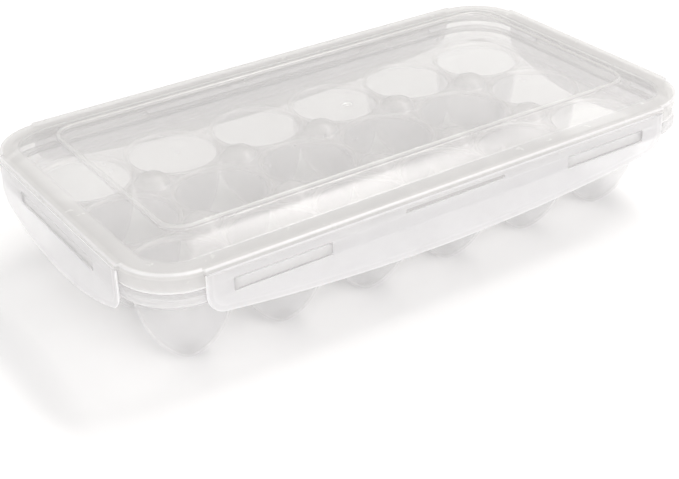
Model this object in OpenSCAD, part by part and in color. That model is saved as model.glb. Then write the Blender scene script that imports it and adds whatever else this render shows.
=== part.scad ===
// Egg holder tray: deep egg cups in a rimmed tray, under a shallow lid with four hinged latches.
// Millimetres, +Z up. The origin is the bottom centre, and the cup feet stand on Z = 0.
// The long sides face -Y (front) and +Y (back); the short ends face -X (left) and +X (right).

/* [Cups] */
// Number of cups along the tray
columns = 6; // [4:1:8]
// Number of cups across the tray
rows = 3; // [2:1:4]
// Distance between the centres of neighbouring cups
pitch = 48; // [48:0.5:54]
// Height of a cup from its foot to the deck
cup_depth = 46; // [44:1:48]
// Outer radius of a cup at its mouth
mouth_r = 23.7; // [21:0.1:23.7]
// Radius of the flat foot of a cup
foot_r = 5; // [3:0.5:8]

/* [Tray] */
// Wall thickness of the tray moulding
wall = 1.2; // [1:0.1:1.5]
// Width of the level ledge between the end cups and the tray wall
ledge_end = 6.3; // [5:0.1:9]
// Width of the level ledge between the side cups and the tray wall
ledge_side = 8.3; // [6:0.1:11]
// Height of the top of the tray wall, which the lid rests over
rim_top = 63; // [60:0.5:66]
// Height of the top of the collar round the tray wall
collar_top = 52.5; // [51:0.5:53]
// Height of the collar from its turned-down lip to its top
collar_depth = 4; // [3:0.5:5]
// Outer radius of the rounded posts between the cups
post_r = 8.5; // [6:0.5:9]
// Height of the posts above the deck
post_height = 5; // [3:0.5:8]

/* [Lid] */
// Wall thickness of the lid
lid_wall = 1.3; // [1.1:0.1:1.6]
// Outer corner radius of the lid
corner_r = 27; // [24:0.5:32]
// Width of the flat flange round the lid
flange_width = 9; // [7:0.5:11]
// Height of the raised panel above the flange
panel_rise = 5.7; // [4:0.1:8]
// Width of the sloping band between the flange and the raised panel
band_width = 15; // [12:0.5:18]
// Corner radius of the raised panel
panel_corner_r = 12; // [8:0.5:16]
// Height of the bead round the raised panel
bead_height = 1; // [0.5:0.1:1.5]
// Width of the bead round the raised panel
bead_width = 2.5; // [2:0.1:4]
// Height of the bottom edge of the lid's skirt
skirt_bottom = 55; // [54.5:0.5:57]

/* [Latches] */
// Thickness of a latch
latch_t = 1.2; // [1:0.1:1.5]
// Gap between a closed latch and the skirt behind it
latch_gap = 0.4; // [0.3:0.05:0.6]
// Height of the lowest point of the long latches
long_low = 34; // [30:0.5:38]
// How far the curved lower edge of a long latch rises towards its ends
long_sag = 9; // [4:0.5:12]
// Height of the lowest point of the short latches
short_low = 31; // [28:0.5:36]
// How far the curved lower edge of a short latch rises towards its ends
short_sag = 12; // [6:0.5:14]
// Radius of the lower corners of a latch
latch_corner_r = 10; // [6:0.5:12]
// Height of the bar under a catch window
catch_z = 50; // [49:0.5:51]
// Height of a catch window
window_height = 6.3; // [5:0.1:6.4]

/* [Hidden] */
$fn = 72;

// Superellipse powers of the cup wall: how round it is below and how full it is above
cup_round = 2.9;
cup_fill = 1.08;
cup_steps = 14;

// Half sizes of the cup grid, the tray wall, the lid and its outlines
grid_x = columns * pitch / 2;
grid_y = rows * pitch / 2;
wall_x = grid_x + ledge_end;
wall_y = grid_y + ledge_side;
seal_gap = 3.9;
lid_x = wall_x + seal_gap;
lid_y = wall_y + seal_gap;
band_inset = flange_width + band_width;
panel_x = lid_x - band_inset;
panel_y = lid_y - band_inset;

// Heights of the lid: its flange lies just clear of the tray wall
rest_gap = 0.2;
flange_top = rim_top + rest_gap + lid_wall;
panel_top = flange_top + panel_rise;
// Height and inset of the crease that rounds the sloping band
crease_rise = 0.72 * panel_rise;
crease_inset = flange_width + 0.45 * band_width;
crease_corner_r = (corner_r - flange_width + panel_corner_r) / 2;
// Dimple left by the moulding gate
gate_r = 2.2;
gate_depth = 0.4;

// Latch hinges: the rounded top edge of a latch turns in a groove under a rail on the lid
hinge_drop = 3.7;
groove_gap = 0.25;
hinge_z = flange_top - hinge_drop;
hinge_out = latch_gap + latch_t / 2;
// Largest angle that a latch opens to, which the underside of its rail leaves clear
open_angle = 120;
long_half = grid_x - 16;
short_half = grid_y - 12;
// Catch windows start and end at these fractions of the latch's half length
long_window = [0.52, 0.9];
short_window = [-0.62, 0.62];
slit_half = 28;
slit_z = 57.3;
slit_height = 2;
// Lugs on the collar stand behind the windows, clear of the latch bar
lug_proud = 0.2;
lug_inset = 1;
lug_lift = 0.3;
lug_height = 3;

function row_letter(row) = chr(ord("a") + row);
function cup_name(column, row) = str("egg_cup_", row_letter(row), column + 1);

CUPS = [for (row = [0 : rows - 1], column = [0 : columns - 1]) cup_name(column, row)];
TRAY = ["divider_posts", "tray_rim"];
COVER = ["lid", "latch_front", "latch_back", "latch_left", "latch_right"];

// Outer radius of a cup at height z
function cup_r(z) =
    foot_r + (mouth_r - foot_r) * pow(1 - pow(1 - z / cup_depth, cup_round), 1 / cup_fill);

// Outer wall of a cup from foot to mouth, with closer steps where it curves most
function cup_outside() =
    [for (i = [0 : cup_steps]) let (z = cup_depth * pow(i / cup_steps, 1.5)) [cup_r(z), z]];

// The same wall set in by the wall thickness, measured square to the surface
function inset_wall(line, depth) = [
    for (i = [0 : len(line) - 1])
        let (along = line[min(i + 1, len(line) - 1)] - line[max(i - 1, 0)])
        line[i] + depth * [-along.y, along.x] / norm(along)
];

function reversed(list) = [for (i = [len(list) - 1 : -1 : 0]) list[i]];

// Points on an arc, with angles counted from straight down towards +X
function arc(centre, r, from, to, steps) =
    [for (i = [0 : steps]) let (a = from + (to - from) * i / steps) centre + r * [sin(a), -cos(a)]];

// A post's outline is a quarter superellipse, squarer than a dome
function post_outline(r, height) =
    [for (i = [0 : 12]) let (a = 90 * i / 12) [r * pow(cos(a), 0.7), height * pow(sin(a), 0.7)]];

module rounded_rect(half_x, half_y, r) {
    square([2 * half_x, 2 * (half_y - r)], center = true);
    square([2 * (half_x - r), 2 * half_y], center = true);
    for (x = [-1, 1], y = [-1, 1])
        translate([x * (half_x - r), y * (half_y - r)]) circle(r);
}

// Outline of the lid set in from its outer face, with its corners kept concentric
module lid_outline(inset) {
    rounded_rect(lid_x - inset, lid_y - inset, corner_r - inset);
}

// A closed ring between two insets, from one height to another
module ring(outer_inset, inner_inset, from_z, to_z) {
    translate([0, 0, from_z]) linear_extrude(to_z - from_z) difference() {
        lid_outline(outer_inset);
        lid_outline(inner_inset);
    }
}

// Puts a piece drawn on the back of the lid at any side: 0 back, 90 left, 180 front, 270 right
module on_side(angle) {
    reach = angle % 180 == 0 ? lid_y : lid_x;
    rotate([0, 0, angle]) translate([0, reach, 0]) children();
}

module egg_cup(column, row) {
    color("gainsboro")
    translate([(column + 0.5) * pitch - grid_x, (row + 0.5) * pitch - grid_y, 0]) {
        rotate_extrude()
            polygon(concat([[0, 0]], cup_outside(), reversed(inset_wall(cup_outside(), wall)), [[0, wall]]));
        translate([0, 0, cup_depth - wall]) linear_extrude(wall) difference() {
            square(pitch, center = true);
            circle(mouth_r - wall);
            for (x = [-1, 1], y = [-1, 1])
                translate([x, y] * pitch / 2) circle(post_r - wall);
        }
    }
}

module divider_posts() {
    color("lavender")
    for (column = [1 : columns - 1], row = [1 : rows - 1])
        translate([column * pitch - grid_x, row * pitch - grid_y, cup_depth])
        rotate_extrude() polygon(concat(
            post_outline(post_r, post_height),
            reversed(post_outline(post_r - wall, post_height - wall))
        ));
}

// Corners of the cup grid that lie on its edge, where the ledge fills the deck
function on_edge(column, row) = column == 0 || column == columns || row == 0 || row == rows;

module tray_rim() {
    color("whitesmoke") {
        translate([0, 0, cup_depth - wall]) linear_extrude(wall) intersection() {
            lid_outline(seal_gap);
            union() {
                difference() {
                    lid_outline(seal_gap);
                    square([2 * grid_x, 2 * grid_y], center = true);
                }
                for (column = [0 : columns], row = [0 : rows])
                    if (on_edge(column, row))
                        translate([column * pitch - grid_x, row * pitch - grid_y]) circle(post_r - wall);
            }
        }
        ring(seal_gap, seal_gap + wall, cup_depth - wall, rim_top);
        ring(0, seal_gap + wall / 2, collar_top - wall, collar_top);
        ring(0, wall, collar_top - collar_depth, collar_top);
        for (angle = [0, 180], side = [-1, 1])
            on_side(angle) lug(side * long_half * long_window);
        for (angle = [90, 270])
            on_side(angle) lug(short_half * short_window);
    }
}

// A catch lug on the collar, behind the latch window that spans from one end to the other
module lug(span) {
    start = min(span) + lug_inset;
    length = max(span) - min(span) - 2 * lug_inset;
    translate([start, -wall, catch_z + lug_lift]) cube([length, wall + lug_proud, lug_height]);
}

// The raised part of the lid above the flange, thinned by a wall thickness
module raised_panel(thin) {
    slab = 0.01;
    hull() {
        translate([0, 0, flange_top - lid_wall - thin]) linear_extrude(lid_wall)
            lid_outline(flange_width + thin);
        translate([0, 0, flange_top + crease_rise - thin]) linear_extrude(slab)
            rounded_rect(lid_x - crease_inset - thin, lid_y - crease_inset - thin, crease_corner_r - thin);
        translate([0, 0, panel_top - slab - thin]) linear_extrude(slab)
            rounded_rect(panel_x - thin / 2, panel_y - thin / 2, panel_corner_r - thin / 2);
    }
}

module lid() {
    color("white") {
        difference() {
            union() {
                translate([0, 0, skirt_bottom]) linear_extrude(flange_top - skirt_bottom) lid_outline(0);
                raised_panel(0);
                panel_bead();
            }
            translate([0, 0, skirt_bottom - 1]) linear_extrude(flange_top - lid_wall - skirt_bottom + 1)
                lid_outline(lid_wall);
            raised_panel(lid_wall);
            translate([0, 0, panel_top - gate_depth]) cylinder(h = gate_depth + 1, r = gate_r);
        }
        for (angle = [0, 180]) on_side(angle) hinge_rail(long_half);
        for (angle = [90, 270]) on_side(angle) hinge_rail(short_half);
    }
}

// The bead that stands up round the raised panel
module panel_bead() {
    translate([0, 0, panel_top - lid_wall]) linear_extrude(lid_wall + bead_height) difference() {
        rounded_rect(panel_x, panel_y, panel_corner_r);
        rounded_rect(panel_x - bead_width, panel_y - bead_width, panel_corner_r - bead_width);
    }
}

// A round bar along a latch's hinge line
module hinge_bar(r, half) {
    translate([0, hinge_out, hinge_z]) rotate([0, 90, 0]) cylinder(h = 2 * half, r = r, center = true);
}

// The rail above a latch, undercut by a groove and by the room that the open latch takes
module hinge_rail(half) {
    swing_r = latch_t / 2 + groove_gap;
    root = lid_wall / 2;
    difference() {
        translate([-half, -root, hinge_z])
            cube([2 * half, root + latch_gap + latch_t, flange_top - hinge_z]);
        hinge_bar(swing_r, half + 1);
        translate([0, hinge_out, hinge_z]) rotate([open_angle - 90, 0, 0])
            translate([-half - 1, 0, -swing_r - 2 * latch_t])
            cube([2 * half + 2, 4 * latch_t, 2 * swing_r + 2 * latch_t]);
        translate([-half - 1, 0, hinge_z - 1]) cube([2 * half + 2, hinge_out, 1 + swing_r]);
    }
}

// Face of a latch: straight sides and top, rounded lower corners and an arched lower edge
module latch_face(half, low, sag) {
    r = (half * half + sag * sag) / (2 * sag);
    corner_x = half - latch_corner_r;
    lean = asin(corner_x / (r - latch_corner_r));
    corner_z = low + r - (r - latch_corner_r) * cos(lean);
    polygon(concat(
        [[-half, hinge_z]],
        arc([-corner_x, corner_z], latch_corner_r, -90, -lean, 10),
        arc([0, low + r], r, -lean, lean, 24),
        arc([corner_x, corner_z], latch_corner_r, lean, 90, 10),
        [[half, hinge_z]]
    ));
}

// A latch drawn on the back of the lid, with a window for each span in the list
module latch(half, low, sag, spans) {
    translate([0, latch_gap + latch_t, 0]) rotate([90, 0, 0]) linear_extrude(latch_t) difference() {
        latch_face(half, low, sag);
        for (span = spans)
            translate([min(span), catch_z]) square([max(span) - min(span), window_height]);
        children();
    }
    hinge_bar(latch_t / 2, half);
}

module long_latch(angle) {
    color("ghostwhite")
    on_side(angle)
        latch(long_half, long_low, long_sag, [long_half * long_window, -long_half * long_window])
            translate([-slit_half, slit_z]) square([2 * slit_half, slit_height]);
}

module short_latch(angle) {
    color("ghostwhite")
    on_side(angle) latch(short_half, short_low, short_sag, [short_half * short_window]);
}

for (row = [0 : rows - 1], column = [0 : columns - 1])
    egg_cup(column, row);
divider_posts();
tray_rim();
lid();
long_latch(180);  // latch_front
long_latch(0);  // latch_back
short_latch(90);  // latch_left
short_latch(270);  // latch_right
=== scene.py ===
# Egg holder tray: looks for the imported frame.
# The mesh code works in millimetres and in the row frame; to_object() turns it into metres.
import math

import bmesh
import bpy
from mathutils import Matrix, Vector, geometry


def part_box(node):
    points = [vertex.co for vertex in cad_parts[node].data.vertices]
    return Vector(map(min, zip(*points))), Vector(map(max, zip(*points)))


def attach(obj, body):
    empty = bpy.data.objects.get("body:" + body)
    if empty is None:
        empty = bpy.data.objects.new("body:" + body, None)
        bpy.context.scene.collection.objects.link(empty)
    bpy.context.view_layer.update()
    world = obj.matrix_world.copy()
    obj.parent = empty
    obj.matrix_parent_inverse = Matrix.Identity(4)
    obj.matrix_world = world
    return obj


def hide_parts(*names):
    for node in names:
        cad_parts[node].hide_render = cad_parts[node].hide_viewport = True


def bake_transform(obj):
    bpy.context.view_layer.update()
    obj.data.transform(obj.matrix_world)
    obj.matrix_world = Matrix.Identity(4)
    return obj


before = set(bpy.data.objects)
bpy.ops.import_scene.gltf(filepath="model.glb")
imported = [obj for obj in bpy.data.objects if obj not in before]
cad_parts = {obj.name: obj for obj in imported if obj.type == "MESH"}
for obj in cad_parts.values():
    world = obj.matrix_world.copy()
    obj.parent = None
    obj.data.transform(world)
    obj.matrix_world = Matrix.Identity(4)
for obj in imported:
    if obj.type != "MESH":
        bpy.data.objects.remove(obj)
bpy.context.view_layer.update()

scene = bpy.context.scene


def node_box(name):
    """Lowest and highest corner of a CAD node, in millimetres."""
    return [Vector(corner) * 1000 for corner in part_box(name)]


# Sizes that several pieces share: the first ones come from the CAD nodes
LID_LOW, LID_HIGH = node_box("lid")
RIM_HIGH = node_box("tray_rim")[1]
POST_HIGH = node_box("divider_posts")[1]
LATCHES = {
    "front": "latch_front",
    "back": "latch_back",
    "left": "latch_left",
    "right": "latch_right",
}
CUPS = sorted(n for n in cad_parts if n.startswith("egg_cup_"))
CUP_CENTRES = [
    ((low + high) / 2).to_2d() for low, high in (node_box(n) for n in CUPS)
]
DECK = node_box(CUPS[0])[1].z
PITCH = 48.0
HALF = PITCH / 2
RAIL = 1.6  # how far the hinge rails stand out from the skirt
LX, LY = LID_HIGH.x - RAIL, LID_HIGH.y - RAIL  # half sizes of the lid's skirt
CORNER = 27.0  # radius of the skirt's corners
CX, CY = LX - CORNER, LY - CORNER  # where the corners' arcs are centred
WALL = 1.2
LID_WALL = 1.3
FLANGE_TOP = 64.5
PANEL_TOP, PANEL_UNDER = 70.2, 68.9
HINGE_Z = 60.8  # the line that a latch turns about: its height,
MERGE = 0.000005  # points closer than this, in metres, are one point


def smooth(a, b, x):
    """0 before a, 1 after b, and smooth between."""
    t = min(max((x - a) / (b - a), 0.0), 1.0)
    return t * t * (3 - 2 * t)


def mix(a, b, t):
    return a + (b - a) * t


def to_object(name, points, faces, haze_and_highlight):
    """A smooth closed object from points in millimetres, with a value at each point for its
    haze and its painted edge highlight.
    """
    mesh = bpy.data.meshes.new(name)
    mesh.from_pydata([Vector(p) / 1000 for p in points], [], faces)
    mesh.validate()
    values = mesh.attributes.new("haze_and_highlight", "FLOAT", "POINT")
    values.data.foreach_set("value", haze_and_highlight)
    solid = bmesh.new()
    solid.from_mesh(mesh)
    bmesh.ops.remove_doubles(solid, verts=solid.verts, dist=MERGE)
    bmesh.ops.recalc_face_normals(solid, faces=solid.faces)
    if solid.calc_volume(signed=True) < 0:
        bmesh.ops.reverse_faces(solid, faces=solid.faces)
    solid.to_mesh(mesh)
    solid.free()
    for face in mesh.polygons:
        face.use_smooth = True
    obj = bpy.data.objects.new(name, mesh)
    scene.collection.objects.link(obj)
    return obj


def strip(first, second, faces):
    """Quads between two closed rings of point numbers."""
    for i in range(len(first)):
        j = (i + 1) % len(first)
        faces.append((first[i], first[j], second[j], second[i]))


# ---------------------------------------------------------------- tray

CUP_DEPTH = DECK
MOUTH_R, FOOT_R = 23.7, 5.0
MOUTH_FILLET = 1.3
SPLITS = 9  # points on half a cell's side
POST_R = 9.7
# the deck's corner: the part of a radius that stays, what it is drawn in to, and what it was
CORNER_KEPT, CORNER_DRAWN, CORNER_GRID = 14, 19.7, 22.39
# (place of the last point of a catch lug on the grid, place it is drawn to)
LONG_LUG_ENDS = ((69.33, 67.0), (112.0, 114.6))
SHORT_LUG_END = (34.67, 36.6)


def cup_r(z):
    """Outer radius of a cup at height z."""
    up = 1 - (1 - z / CUP_DEPTH) ** 2.9
    return FOOT_R + (MOUTH_R - FOOT_R) * up ** (1 / 1.08)


def cup_inside(steps=14):
    """Inner wall of a cup as (radius, height), from its middle to the mouth."""
    outer = []
    for i in range(steps + 1):
        z = CUP_DEPTH * (i / steps) ** 1.5
        outer.append((cup_r(z), z))
    inner = [(1.6, WALL), (3.2, WALL)]
    for i, (r, z) in enumerate(outer):
        r0, z0 = outer[max(i - 1, 0)]
        r1, z1 = outer[min(i + 1, steps)]
        length = math.hypot(r1 - r0, z1 - z0)
        nr, nz = -(z1 - z0) / length, (r1 - r0) / length
        at = (r + WALL * nr, z + WALL * nz)
        if at[1] < CUP_DEPTH - MOUTH_FILLET - 0.4:
            inner.append(at)
    edge = MOUTH_R - WALL
    for i in range(5):
        a = math.radians(90 * i / 4)
        inner.append(
            (
                edge + MOUTH_FILLET * (1 - math.cos(a)),
                CUP_DEPTH - MOUTH_FILLET * (1 - math.sin(a)),
            )
        )
    return inner


def cell_edge():
    """Points round a square cell, evenly spaced along each side."""
    points = []
    for side in range(4):
        turn = math.pi / 2 * side
        c, s = round(math.cos(turn)), round(math.sin(turn))
        for k in range(-SPLITS, SPLITS):
            x, y = HALF, HALF * k / SPLITS
            points.append((c * x - s * y, s * x + c * y))
    return points


def deck_height(x, y):
    """Height of the deck, with a rounded post wherever four cells meet."""
    px = round(x / PITCH) * PITCH
    py = HALF if y > 0 else -HALF
    if abs(px) > 2.5 * PITCH:
        return DECK
    u = math.hypot(x - px, y - py) / POST_R
    if u >= 1:
        return DECK
    return DECK + (POST_HIGH.z - DECK) * (1 - u ** 3.6) ** 1.7


def inside_corner(x, y):
    """Draws the deck in where the grid's corner would pass the tray's rounded corner."""
    dx, dy = abs(x) - CX, abs(y) - CY
    if dx <= 0 or dy <= 0:
        return x, y
    far = math.hypot(dx, dy)
    if far <= CORNER_KEPT:
        return x, y
    squeeze = (CORNER_DRAWN - CORNER_KEPT) / (CORNER_GRID - CORNER_KEPT)
    k = (CORNER_KEPT + (far - CORNER_KEPT) * squeeze) / far
    return math.copysign(CX + dx * k, x), math.copysign(CY + dy * k, y)


def outward(x, y, inset):
    """The point at an inset from the skirt, straight out from (x, y) on the grid's edge."""
    ax, ay = abs(x), abs(y)
    if ax <= CX:
        ax, ay = ax, LY - inset
    elif ay <= CY:
        ax, ay = LX - inset, ay
    else:
        dx, dy = ax - CX, ay - CY
        far = math.hypot(dx, dy)
        ax, ay = CX + dx / far * (CORNER - inset), CY + dy / far * (CORNER - inset)
    return math.copysign(ax, x), math.copysign(ay, y)


def lug_share(x, y):
    """1 where a catch lug stands on the collar, behind a latch's window."""
    if abs(y) >= 1.5 * PITCH - 0.01 and abs(x) <= CX:
        return smooth(66.0, 68.2, abs(x)) * (1 - smooth(112.6, 115.0, abs(x)))
    if abs(x) >= 3 * PITCH - 0.01 and abs(y) <= CY:
        return 1 - smooth(34.6, 37.0, abs(y))
    return 0.0


def lug_end(x, y):
    """Draws a lug's last points along the collar, to just inside the ends of its window."""
    if abs(y) > LY - 2:
        for grid, place in LONG_LUG_ENDS:
            if abs(abs(x) - grid) < 0.5:
                return math.copysign(place, x), y
    elif abs(x) > LX - 2 and abs(abs(y) - SHORT_LUG_END[0]) < 0.5:
        return x, math.copysign(SHORT_LUG_END[1], y)
    return x, y


def arc_line(ci, cz, r, start, end, steps):
    """Points (inset, height) on an arc about (ci, cz); 0 degrees points outward, 90 up."""
    line = []
    for i in range(steps + 1):
        a = math.radians(mix(start, end, i / steps))
        line.append((ci - r * math.cos(a), cz + r * math.sin(a)))
    return line


def rim_line():
    """The tray's rim in section, as (inset, height, haze and painted highlight, inset at a
    lug, height at a lug).
    """
    top = RIM_HIGH.z
    line = []

    def add(points, haze_and_highlight):
        line.extend((i, z, haze_and_highlight, i, z) for i, z in points)

    add([(6.7, DECK)], 0.24)
    add(arc_line(6.6, DECK + 1.5, 1.5, -90, 0, 4), 0.3)
    add([(5.1, 50.0), (5.1, 55.0), (5.1, 61.0)], 0.16)
    # painted highlight on the wall's rounded top
    add(arc_line(4.5, top - 0.6, 0.6, 180, 0, 6), 0.5)
    add([(3.9, 59.0), (3.9, 54.6)], 0.16)
    add(arc_line(3.0, 53.4, 0.9, 180, 270, 3), 0.3)
    for i, z, haze_and_highlight, li, lz in (
        (2.4, 52.5, 0.34, 1.9, 52.8),
        (1.9, 52.5, 0.36, 1.55, 54.0),
        (1.4, 52.5, 0.4, 1.3, 54.5),
        (1.0, 52.5, 0.46, 0.8, 54.68),
        (0.62, 52.45, 0.5, -0.22, 54.7),
        (0.42, 52.36, 0.52, -0.36, 55.5),
        (0.25, 52.22, 0.54, -0.6, 55.85),
        (0.12, 52.02, 0.54, -0.95, 55.88),
        (0.04, 51.8, 0.5, -1.2, 55.6),
        (0.0, 51.5, 0.44, -1.28, 55.0),
        (0.0, 51.0, 0.36, -1.28, 53.0),
        (0.0, 50.6, 0.34, -1.26, 51.0),
        (0.0, 50.3, 0.34, -1.0, 50.5),
        (0.0, 50.0, 0.36, 0.0, 50.38),
    ):
        line.append((i, z, haze_and_highlight, li, lz))
    # painted highlight on the collar's rounded lower edge
    add(arc_line(0.6, 49.1, 0.6, 0, -180, 6), 0.62)
    add([(1.2, 50.8), (1.35, 51.17), (1.7, 51.3), (3.4, 51.3), (3.78, 51.14)], 0.34)
    add([(3.9, 50.7), (3.9, 48.5), (3.9, 46.2)], 0.2)
    add(arc_line(5.0, DECK - WALL + 1.1, 1.1, 0, -90, 4), 0.3)
    add([(6.7, DECK - WALL)], 0.24)
    return line


def build_tray():
    points, haze_and_highlight, faces = [], [], []
    number = {}

    def point(x, y, z, value):
        key = (round(x, 3), round(y, 3), round(z, 3))
        if key not in number:
            number[key] = len(points)
            points.append(Vector((x, y, z)))
            haze_and_highlight.append(value)
        return number[key]

    inner = cup_inside()
    edge = cell_edge()
    rim_r = inner[-1][0]
    for centre in CUP_CENTRES:
        middle = point(centre.x, centre.y, WALL, 0.2)
        before = None
        for r, z in inner:
            shade = 0.17 + 0.05 * smooth(20, 4, z) + 0.2 * smooth(44.2, 46, z)
            ring = []
            for ex, ey in edge:
                far = math.hypot(ex, ey)
                ring.append(
                    point(centre.x + ex / far * r, centre.y + ey / far * r, z, shade)
                )
            if before is None:
                for i, a in enumerate(ring):
                    faces.append((middle, a, ring[(i + 1) % len(ring)]))
            else:
                strip(before, ring, faces)
            before = ring
        for share in (0.1, 0.24, 0.38, 0.53, 0.68, 0.84, 1.0):
            ring = []
            for ex, ey in edge:
                far = math.hypot(ex, ey)
                k = mix(rim_r / far, 1.0, share)
                x, y = centre.x + ex * k, centre.y + ey * k
                z = deck_height(x, y)
                shade = 0.26 + 0.16 * smooth(DECK + 0.3, POST_HIGH.z - 0.6, z)
                ring.append(point(x, y, z, shade))
            strip(before, ring, faces)
            before = ring

    # the edge of the grid, once round
    step = HALF / SPLITS
    gx, gy = 3 * PITCH, 1.5 * PITCH
    nx, ny = round(2 * gx / step), round(2 * gy / step)
    round_edge = [(-gx + i * step, -gy) for i in range(nx)]
    round_edge += [(gx, -gy + i * step) for i in range(ny)]
    round_edge += [(gx - i * step, gy) for i in range(nx)]
    round_edge += [(-gx, gy - i * step) for i in range(ny)]
    top_loop = [
        number[(round(x, 3), round(y, 3), round(DECK, 3))] for x, y in round_edge
    ]
    for p in points:
        p.x, p.y = inside_corner(p.x, p.y)

    # the underside is the same sheet, a wall thickness lower along its normals
    sheet = bpy.data.meshes.new("sheet")
    sheet.from_pydata(points, [], faces)
    normals = [Vector(n.vector) for n in sheet.vertex_normals]
    bpy.data.meshes.remove(sheet)
    foot = CUP_CENTRES[0]
    if normals[number[(round(foot.x, 3), round(foot.y, 3), WALL)]].z < 0:
        normals = [-n for n in normals]
    count = len(points)
    top_faces = list(faces)
    for p, n, value in zip(points[:count], normals, haze_and_highlight[:count]):
        low = p - n * WALL
        low.z = max(low.z, 0.0)
        points.append(low)
        haze_and_highlight.append(value)
    faces += [tuple(reversed([count + i for i in face])) for face in top_faces]
    low_loop = [count + i for i in top_loop]

    # the rim is one closed section, swept round
    before = top_loop
    for inset, z, value, lug_inset, lug_z in rim_line():
        ring = []
        for x, y in round_edge:
            lug = lug_share(x, y)
            ox, oy = outward(x, y, mix(inset, lug_inset, lug))
            if lug_inset < 0:
                ox, oy = lug_end(ox, oy)
            points.append(Vector((ox, oy, mix(z, lug_z, lug))))
            # painted highlight: a lug's outer face gets 0.2 more haze, which whitens it
            haze_and_highlight.append(value + (0.2 * lug if lug_inset < 0 else 0))
            ring.append(len(points) - 1)
        strip(before, ring, faces)
        before = ring
    strip(before, low_loop, faces)

    tray = to_object("tray_moulding", points, faces, haze_and_highlight)
    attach(tray, "tray")
    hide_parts(*CUPS, "divider_posts", "tray_rim")
    return tray


# ---------------------------------------------------------------- lid

RAIL_ANGLES = (5.95, 88.3)  # where the hinge rails end on a corner's arc
CORNER_ANGLES = [0, 2.5, 4.9, 5.95, 6.6, 11, 16.5, *range(22, 83, 6)]
CORNER_ANGLES += [87.0, 87.65, 88.3, 89.2, 90]


def ring_places():
    """The points of a lid ring: (sign x, sign y, kind, angle or share, 1 at a hinge rail)."""
    places = []

    def corner(sx, sy, angles):
        for a in angles:
            rail = 1.0 if a <= RAIL_ANGLES[0] or a >= RAIL_ANGLES[1] else 0.0
            places.append((sx, sy, "arc", math.radians(a), rail))

    def side(sx, sy, steps, axis):
        for i in range(1, steps):
            places.append((sx, sy, axis, 1 - 2 * i / steps, 1.0))

    corner(1, 1, CORNER_ANGLES)
    side(1, 1, 28, "x")
    corner(-1, 1, CORNER_ANGLES[::-1])
    side(-1, 1, 12, "y")
    corner(-1, -1, CORNER_ANGLES)
    side(-1, -1, 28, "x")
    corner(1, -1, CORNER_ANGLES[::-1])
    side(1, -1, 12, "y")
    return places


PLACES = ring_places()


def corner_radius(inset):
    """Corner radius of the lid's outline at an inset from the skirt."""
    if inset <= 9:
        return CORNER - inset
    if inset <= 24:
        return 18 - (inset - 9) * 0.4
    return max(12 - (inset - 24), 1.0)


def place_point(place, inset, z):
    sx, sy, kind, at, rail = place
    r = corner_radius(inset)
    hx, hy = LX - inset - r, LY - inset - r
    if kind == "arc":
        return Vector((sx * (hx + r * math.cos(at)), sy * (hy + r * math.sin(at)), z))
    if kind == "x":
        return Vector((sx * at * hx, sy * (hy + r), z))
    return Vector((sx * (hx + r), sy * at * hy, z))


BAND_START, BAND_END, BAND_FOOT = 23.2, 9.6, 9.0  # insets
BAND_RISE = 4.75


def band_height(inset):
    """Height of the convex band between the flange and the bead's foot."""
    t = min((inset - BAND_FOOT) / (BAND_START - BAND_FOOT), 1.0)
    return FLANGE_TOP + BAND_RISE * (1 - (1 - t) ** 2.1)


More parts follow.
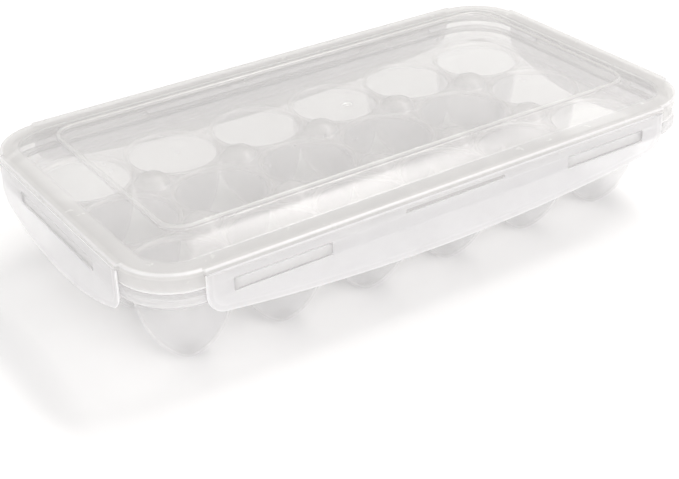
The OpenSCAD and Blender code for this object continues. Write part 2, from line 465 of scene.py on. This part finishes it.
def lid_line():
    """The lid in section as (inset, height, haze and painted highlight, inset at a rail,
    height at a rail).
    """
    bead = LID_HIGH.z
    line = []

    def add(points, haze_and_highlight):
        line.extend((i, z, haze_and_highlight, i, z) for i, z in points)

    add([(i, PANEL_TOP) for i in (80.0, 60.0, 42.0, 30.0, 27.2)], 0.2)
    add([(26.6, 70.21), (26.42, 70.33), (26.25, 70.6)], 0.34)
    add([(26.05, 70.88), (25.75, 71.06), (25.35, bead - 0.03), (24.95, bead)], 0.46)
    add([(24.55, bead - 0.08), (24.25, 70.85), (24.08, 70.45)], 0.46)
    add([(24.0, 70.0), (23.92, 69.6), (23.74, 69.36)], 0.3)
    steps = 12
    band = [mix(BAND_START, BAND_END, (i / steps) ** 0.8) for i in range(steps + 1)]
    add([(i, band_height(i)) for i in band], 0.2)
    add([(9.15, 64.62), (8.75, 64.53)], 0.34)
    top = FLANGE_TOP
    add([(8.2, top), (6.0, top), (3.4, top), (2.0, top)], 0.4)
    # painted highlight: high haze values on the flange's rounded outer edge whiten it
    for i, z, haze_and_highlight, ri, rz in (
        (1.35, top, 0.55, -0.2, top),
        (0.95, top - 0.06, 0.72, -0.75, top - 0.03),
        (0.6, top - 0.2, 0.78, -1.15, top - 0.13),
        (0.32, top - 0.44, 0.78, -1.42, top - 0.34),
        (0.1, top - 0.78, 0.72, -1.56, top - 0.62),
        (0.0, 63.2, 0.5, -1.6, 63.5),
        (0.0, 62.7, 0.42, -1.6, 62.9),
        (0.0, 62.4, 0.42, -1.59, 62.35),
        (0.0, 62.2, 0.42, -1.5, 62.17),
        (0.0, 62.0, 0.4, -1.28, 62.06),
        (0.0, 61.8, 0.38, -0.95, 61.93),
        (0.0, 61.6, 0.36, -0.6, 61.72),
        (0.0, 61.4, 0.34, -0.25, 61.45),
        (0.0, 61.1, 0.34, -0.03, 61.1),
    ):
        line.append((i, z, haze_and_highlight, ri, rz))
    add([(0.0, 60.0), (0.0, 57.5), (0.0, 56.4)], 0.34)
    low = LID_LOW.z
    # painted highlight along the skirt's rounded lower edge
    add(arc_line(0.65, low + 0.65, 0.65, 0, -180, 6), 0.8)
    add([(1.3, 57.5), (1.3, 61.0)], 0.34)
    add(arc_line(2.3, 62.2, 1.0, 0, 90, 3), 0.4)
    add([(4.0, 63.2), (8.0, 63.2), (9.0, 63.3)], 0.36)
    inner = []
    for i in reversed(band):
        slope = (band_height(i + 0.05) - band_height(i - 0.05)) / 0.1
        n = math.hypot(1, slope)
        inner.append((i + LID_WALL * slope / n, band_height(i) - LID_WALL / n))
    add([(i, z) for i, z in inner if z < 68.6], 0.14)
    add([(25.2, PANEL_UNDER - 0.04)], 0.2)
    add([(i, PANEL_UNDER) for i in (27.2, 42.0, 60.0, 80.0)], 0.2)
    return line


def build_lid():
    points, haze_and_highlight, faces = [], [], []

    def circle(r, z, value):
        ring = []
        for place in PLACES:
            p = place_point(place, 80.0, z).to_2d().normalized() * r
            points.append(Vector((p.x, p.y, z)))
            haze_and_highlight.append(value)
            ring.append(len(points) - 1)
        return ring

    def cap(ring, z, value):
        points.append(Vector((0, 0, z)))
        haze_and_highlight.append(value)
        middle = len(points) - 1
        for i, a in enumerate(ring):
            faces.append((middle, a, ring[(i + 1) % len(ring)]))

    # the gate mark at the middle of the panel: a shallow dimple with a small nub
    before = circle(0.7, 69.98, 0.6)
    cap(before, 70.02, 0.6)
    for r, z, value in (
        (1.0, 69.86, 0.5),
        (1.7, 69.84, 0.3),
        (2.05, 69.95, 0.6),
        (2.2, 70.14, 0.7),
        (2.45, PANEL_TOP, 0.5),
        (3.4, PANEL_TOP, 0.2),
    ):
        ring = circle(r, z, value)
        strip(before, ring, faces)
        before = ring
    for inset, z, value, rail_inset, rail_z in lid_line():
        ring = []
        for place in PLACES:
            rail = place[4]
            points.append(
                place_point(place, mix(inset, rail_inset, rail), mix(z, rail_z, rail))
            )
            haze_and_highlight.append(value)
            ring.append(len(points) - 1)
        strip(before, ring, faces)
        before = ring
    ring = circle(3.4, PANEL_UNDER, 0.2)
    strip(before, ring, faces)
    cap(list(reversed(ring)), PANEL_UNDER, 0.2)
    lid = to_object("lid_moulding", points, faces, haze_and_highlight)
    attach(lid, "lid")
    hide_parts("lid")
    return lid


# ---------------------------------------------------------------- latches

def on_side(side, along, out, z):
    """A point from its place along a side, its distance out from the skirt and its height."""
    if side == "front":
        return Vector((along, -(LY + out), z))
    if side == "back":
        return Vector((-along, LY + out, z))
    if side == "left":
        return Vector((-(LX + out), -along, z))
    return Vector((LX + out, along, z))


def latch_outline(half, low, sag, d, d_top):
    """A latch's outline set in by d, and by d_top at its top, once round from the top left."""
    r = (half * half + sag * sag) / (2 * sag)  # the arched lower edge
    cr = 10.0  # its corners
    corner_x = half - cr
    lean = math.asin(corner_x / (r - cr))
    corner_z = low + r - (r - cr) * math.cos(lean)
    top = HINGE_Z + 0.6 - d_top
    flank, bend, arch, across = 10, 12, 56, 40  # steps along each part
    points = []

    def corner(sign, a):
        x = sign * corner_x + (cr - d) * math.sin(a)
        points.append((x, corner_z - (cr - d) * math.cos(a)))

    for i in range(flank):
        points.append((-half + d, mix(top, corner_z, i / flank)))
    for i in range(bend):
        corner(-1, mix(-math.pi / 2, -lean, i / bend))
    for i in range(arch + 1):
        a = mix(-lean, lean, i / arch)
        points.append(((r - d) * math.sin(a), low + r - (r - d) * math.cos(a)))
    for i in range(1, bend + 1):
        corner(1, mix(lean, math.pi / 2, i / bend))
    for i in range(1, flank + 1):
        points.append((half - d, mix(corner_z, top, i / flank)))
    for i in range(1, across):
        points.append((mix(half - d, -half + d, i / across), top))
    return points


def hole_outline(x0, x1, z0, z1, grow, r=0.8):
    """A window with small rounded corners, grown by an amount, once round."""
    x0, x1, z0, z1, r = x0 - grow, x1 + grow, z0 - grow, z1 + grow, r + grow
    points = []
    for cx, cz, start in (
        (x0 + r, z0 + r, 180),
        (x1 - r, z0 + r, 270),
        (x1 - r, z1 - r, 0),
        (x0 + r, z1 - r, 90),
    ):
        for i in range(5):
            a = math.radians(start + 90 * i / 4)
            points.append((cx + r * math.cos(a), cz + r * math.sin(a)))
    return points


IN_FACE, OUT_FACE = 0.4, 1.6  # how far a latch's faces lie outside the skirt
RECESS = 0.14  # the middle of a latch lies this far behind its rounded border
LONG_SAG, SHORT_SAG = 9.0, 12.0  # how far the lower edges arch


def build_latch(side, holes):
    node = LATCHES[side]
    low_corner, high_corner = node_box(node)
    low = low_corner.z
    long = side in ("front", "back")
    half = high_corner.x if long else high_corner.y
    sag = LONG_SAG if long else SHORT_SAG
    points, haze_and_highlight, faces = [], [], []

    def ring_of(flat, out, value):
        ring = []
        for x, z in flat:
            points.append(on_side(side, x, out, z))
            haze_and_highlight.append(value)
            ring.append(len(points) - 1)
        return ring

    def fill(loops):
        flat = [[points[i] for i in loop] for loop in loops]
        order = [i for loop in loops for i in loop]
        for tri in geometry.tessellate_polygon(flat):
            faces.append(tuple(order[i] for i in tri))

    r = (OUT_FACE - IN_FACE) / 2
    mid = (OUT_FACE + IN_FACE) / 2
    rings = []
    for i in range(9):
        a = math.radians(mix(-90, 90, i / 8))
        d = r * (1 - math.cos(a))
        # painted highlight: the haze value peaks at 0.95 on the outermost line of the rounded
        # border, whitening it there
        value = mix(0.95, 0.5, abs(math.sin(a)) ** 2)
        outline = latch_outline(half, low, sag, d, d / 2)
        rings.append(ring_of(outline, mid + r * math.sin(a), value))
    for d, out, value in (
        (1.2, OUT_FACE, 0.4),
        (2.4, OUT_FACE - 0.01, 0.38),
        (2.9, OUT_FACE - 0.04, 0.42),
        (3.4, OUT_FACE - 0.1, 0.42),
        (3.9, OUT_FACE - RECESS, 0.38),
        (4.6, OUT_FACE - RECESS, 0.36),
    ):
        d_top = 0.36 + (d - 1.2) * 0.2
        rings.append(ring_of(latch_outline(half, low, sag, d, d_top), out, value))
    for a, b in zip(rings, rings[1:]):
        strip(a, b, faces)
    front, back = [rings[-1]], [rings[0]]
    face = OUT_FACE - RECESS
    for hole in holes:
        edge = []
        for grow, out, value in (
            (0.3, face, 0.38),
            (0.16, face - 0.03, 0.42),
            (0.06, face - 0.1, 0.46),
            (0.0, face - 0.22, 0.44),
            (0.0, face - 0.4, 0.42),
            (0.0, IN_FACE + 0.15, 0.4),
            (0.12, IN_FACE, 0.36),
        ):
            edge.append(ring_of(hole_outline(*hole, grow), out, value))
        for a, b in zip(edge, edge[1:]):
            strip(list(reversed(a)), list(reversed(b)), faces)
        front.append(edge[0])
        back.append(edge[-1])
    fill(front)
    fill(back)
    latch = to_object(f"{node}_flap", points, faces, haze_and_highlight)
    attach(latch, node)
    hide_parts(node)
    return latch


def build_hinge(side):
    """The thin strip that a latch bends at, from the underside of its rail to its top edge."""
    node = LATCHES[side]
    high = node_box(node)[1]
    half = (high.x if side in ("front", "back") else high.y) - 0.6
    points, haze_and_highlight, faces = [], [], []
    levels = [61.0, 61.2, *(61.3 + 0.08 * i for i in range(8)), 61.95, 62.1]
    columns = 24
    rings = []
    for i in range(columns + 1):
        along = mix(-half, half, i / columns)
        ring = []
        for out, heights in ((1.06, levels), (1.46, levels[::-1])):
            for z in heights:
                points.append(on_side(side, along, out, z))
                haze_and_highlight.append(0.62)
                ring.append(len(points) - 1)
        rings.append(ring)
    for a, b in zip(rings, rings[1:]):
        strip(a, b, faces)
    faces.append(tuple(reversed(rings[0])))
    faces.append(tuple(rings[-1]))
    hinge = to_object(f"{node}_hinge", points, faces, haze_and_highlight)
    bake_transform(hinge)
    return hinge


# ---------------------------------------------------------------- materials

def frosted(name, body, clear, rough, gloss_rough, grain, cloud, through):
    """Milky polypropylene: clear film mixed with a body that scatters light, under a gloss,
    with a painted highlight whitening its edges.
    """
    material = bpy.data.materials.new(name)
    material.use_nodes = True
    tree = material.node_tree
    tree.nodes.clear()

    def node(kind, **settings):
        n = tree.nodes.new(kind)
        for key, value in settings.items():
            setattr(n, key, value)
        return n

    def link(a, b):
        tree.links.new(a, b)

    def maths(operation, a, b, clamp=False):
        n = node("ShaderNodeMath", operation=operation, use_clamp=clamp)
        for socket, value in zip(n.inputs, (a, b)):
            if isinstance(value, (int, float)):
                socket.default_value = value
            else:
                link(value, socket)
        return n.outputs[0]

    place = node("ShaderNodeTexCoord").outputs["Object"]

    def noise(scale, detail, roughness):
        n = node("ShaderNodeTexNoise")
        n.inputs["Scale"].default_value = scale
        n.inputs["Detail"].default_value = detail
        n.inputs["Roughness"].default_value = roughness
        link(place, n.inputs["Vector"])
        return n.outputs["Fac"]

    clouds = noise(26, 3, 0.55)  # slow changes in how milky the plastic is
    flow = noise(110, 4, 0.6)  # finer streaks left by the mould
    fine = noise(900, 2, 0.5)  # the grain of the mould's surface

    # how much of the surface scatters light instead of letting it by
    haze_and_highlight = node("ShaderNodeAttribute", attribute_name="haze_and_highlight").outputs["Fac"]
    wobble = maths("MULTIPLY", maths("SUBTRACT", clouds, 0.5), cloud)
    streaks = maths("MULTIPLY", maths("SUBTRACT", flow, 0.5), cloud * 0.4)
    gain = maths("ADD", maths("ADD", 1.0, wobble), streaks)
    milky = maths("MULTIPLY", haze_and_highlight, gain, clamp=True)

    # clouded in its depth, and whiter at the edges: a painted highlight standing for the light
    # that gathers in the thickness and glints on rounded edges
    tone = node("ShaderNodeMix", data_type="RGBA")
    tone.inputs["A"].default_value = (*[c * 0.96 for c in body], 1)
    tone.inputs["B"].default_value = (*body, 1)
    link(clouds, tone.inputs["Factor"])
    # painted highlight mask: haze values above 0.45 lift the colour towards white
    rim = node("ShaderNodeMapRange", interpolation_type="SMOOTHSTEP")
    rim.inputs["From Min"].default_value = 0.45
    rim.inputs["From Max"].default_value = 0.9
    link(haze_and_highlight, rim.inputs["Value"])
    edge = node("ShaderNodeMix", data_type="RGBA")
    edge.inputs["B"].default_value = (0.97, 0.97, 0.975, 1)
    link(tone.outputs["Result"], edge.inputs["A"])
    link(rim.outputs["Result"], edge.inputs["Factor"])
    colour = edge.outputs["Result"]

    bump = node("ShaderNodeBump")
    bump.inputs["Strength"].default_value = 0.5
    bump.inputs["Distance"].default_value = 0.00003
    height = maths("ADD", maths("MULTIPLY", fine, grain), maths("MULTIPLY", flow, 0.5))
    link(height, bump.inputs["Height"])
    normal = bump.outputs["Normal"]

    solid = node("ShaderNodeBsdfPrincipled")
    link(colour, solid.inputs["Base Color"])
    link(normal, solid.inputs["Normal"])
    solid.inputs["IOR"].default_value = 1.49
    link(maths("ADD", rough, maths("MULTIPLY", fine, 0.06)), solid.inputs["Roughness"])

    glow = node("ShaderNodeBsdfTranslucent")
    link(colour, glow.inputs["Color"])
    link(normal, glow.inputs["Normal"])

    milk = node("ShaderNodeMixShader")
    milk.inputs[0].default_value = through
    link(solid.outputs[0], milk.inputs[1])
    link(glow.outputs[0], milk.inputs[2])

    film = node("ShaderNodeBsdfTransparent")
    film.inputs["Color"].default_value = (*clear, 1)

    sheet = node("ShaderNodeMixShader")
    link(milky, sheet.inputs[0])
    link(film.outputs[0], sheet.inputs[1])
    link(milk.outputs[0], sheet.inputs[2])

    # a gloss over the clear film too, on the side that faces out of the plastic
    shine = node("ShaderNodeBsdfPrincipled")
    shine.inputs["Base Color"].default_value = (1, 1, 1, 1)
    shine.inputs["Metallic"].default_value = 1.0
    link(maths("ADD", gloss_rough, maths("MULTIPLY", flow, 0.08)), shine.inputs["Roughness"])
    link(normal, shine.inputs["Normal"])
    fresnel = node("ShaderNodeFresnel")
    fresnel.inputs["IOR"].default_value = 1.45
    facing = maths("SUBTRACT", 1.0, node("ShaderNodeNewGeometry").outputs["Backfacing"])
    mirror = maths("MULTIPLY", fresnel.outputs[0], facing)
    surface = node("ShaderNodeMixShader")
    link(mirror, surface.inputs[0])
    link(sheet.outputs[0], surface.inputs[1])
    link(shine.outputs[0], surface.inputs[2])

    output = node("ShaderNodeOutputMaterial")
    link(surface.outputs[0], output.inputs["Surface"])
    return material


tray_plastic = frosted(
    "tray_plastic",
    body=(0.9, 0.895, 0.892),
    clear=(0.985, 0.985, 0.988),
    rough=0.36,
    gloss_rough=0.2,
    grain=0.5,
    cloud=0.3,
    through=0.42,
)
lid_plastic = frosted(
    "lid_plastic",
    body=(0.85, 0.842, 0.832),
    clear=(0.982, 0.981, 0.978),
    rough=0.4,
    gloss_rough=0.22,
    grain=0.3,
    cloud=0.24,
    through=0.4,
)
latch_plastic = frosted(
    "latch_plastic",
    body=(0.91, 0.905, 0.912),
    clear=(0.985, 0.985, 0.988),
    rough=0.42,
    gloss_rough=0.28,
    grain=0.6,
    cloud=0.2,
    through=0.38,
)

tray = build_tray()
tray.data.materials.append(tray_plastic)
lid = build_lid()
lid.data.materials.append(lid_plastic)
# openings in the flaps: from and to along the side, from and to in height
LONG_HOLES = [
    (-115.2, -66.56, 50.0, 56.3),
    (66.56, 115.2, 50.0, 56.3),
    (-28.0, 28.0, 57.3, 59.3),
]
SHORT_HOLES = [(-37.2, 37.2, 50.0, 56.3)]
for side in LATCHES:
    long = side in ("front", "back")
    flap = build_latch(side, LONG_HOLES if long else SHORT_HOLES)
    flap.data.materials.append(latch_plastic)
    hinge = build_hinge(side)
    hinge.data.materials.append(latch_plastic)


# ---------------------------------------------------------------- studio

floor_mesh = bpy.data.meshes.new("floor")
floor_mesh.from_pydata([(-6, -6, 0), (6, -6, 0), (6, 6, 0), (-6, 6, 0)], [], [(0, 1, 2, 3)])
floor = bpy.data.objects.new("floor", floor_mesh)
scene.collection.objects.link(floor)
paper = bpy.data.materials.new("paper")
paper.use_nodes = True
paper_inputs = paper.node_tree.nodes["Principled BSDF"].inputs
paper_inputs["Base Color"].default_value = (0.93, 0.93, 0.93, 1)
paper_inputs["Roughness"].default_value = 0.9
paper_inputs["Specular IOR Level"].default_value = 0.0
floor_mesh.materials.append(paper)

world = bpy.data.worlds.new("studio")
scene.world = world
world.use_nodes = True
sky = world.node_tree.nodes["Background"].inputs
sky["Color"].default_value = (1.0, 0.99, 0.985, 1)
sky["Strength"].default_value = 0.62


def softbox(name, direction, distance, size, power, colour=(1, 1, 1)):
    """An area light that looks at the tray from a direction."""
    light = bpy.data.lights.new(name, "AREA")
    light.shape = "RECTANGLE"
    light.size, light.size_y = size
    light.energy = power
    light.color = colour
    obj = bpy.data.objects.new(name, light)
    d = Vector(direction).normalized()
    obj.location = d * distance + Vector((0, 0, 0.05))
    obj.rotation_euler = (-d).to_track_quat("-Z", "Y").to_euler()
    scene.collection.objects.link(obj)


softbox("key", (0.46, 0.05, 0.88), 1.5, (1.1, 0.35), 12, (1.0, 0.98, 0.955))
softbox("front", (-0.1, -0.85, 0.5), 1.8, (1.4, 0.8), 14, (1.0, 0.985, 0.985))
softbox("left", (-0.9, -0.1, 0.42), 1.8, (1.2, 0.8), 7, (1.0, 0.985, 0.98))

camera = bpy.data.objects.new("camera", bpy.data.cameras.new("camera"))
camera.data.sensor_width = 36
camera.data.lens = 74.2
camera.location = (-0.3472, -0.51297, 0.35496)
camera.rotation_euler = [math.radians(a) for a in (59.80, 1.2290, -34.31)]
camera.data.clip_start = 0.01
scene.collection.objects.link(camera)
scene.camera = camera

scene.view_settings.view_transform = "Standard"
scene.view_settings.look = "None"
scene.cycles.transparent_max_bounces = 40
scene.cycles.max_bounces = 10
scene.cycles.diffuse_bounces = 5
scene.cycles.glossy_bounces = 3
scene.cycles.transmission_bounces = 6
scene.cycles.caustics_reflective = False
scene.cycles.caustics_refractive = False
scene.cycles.use_denoising = True
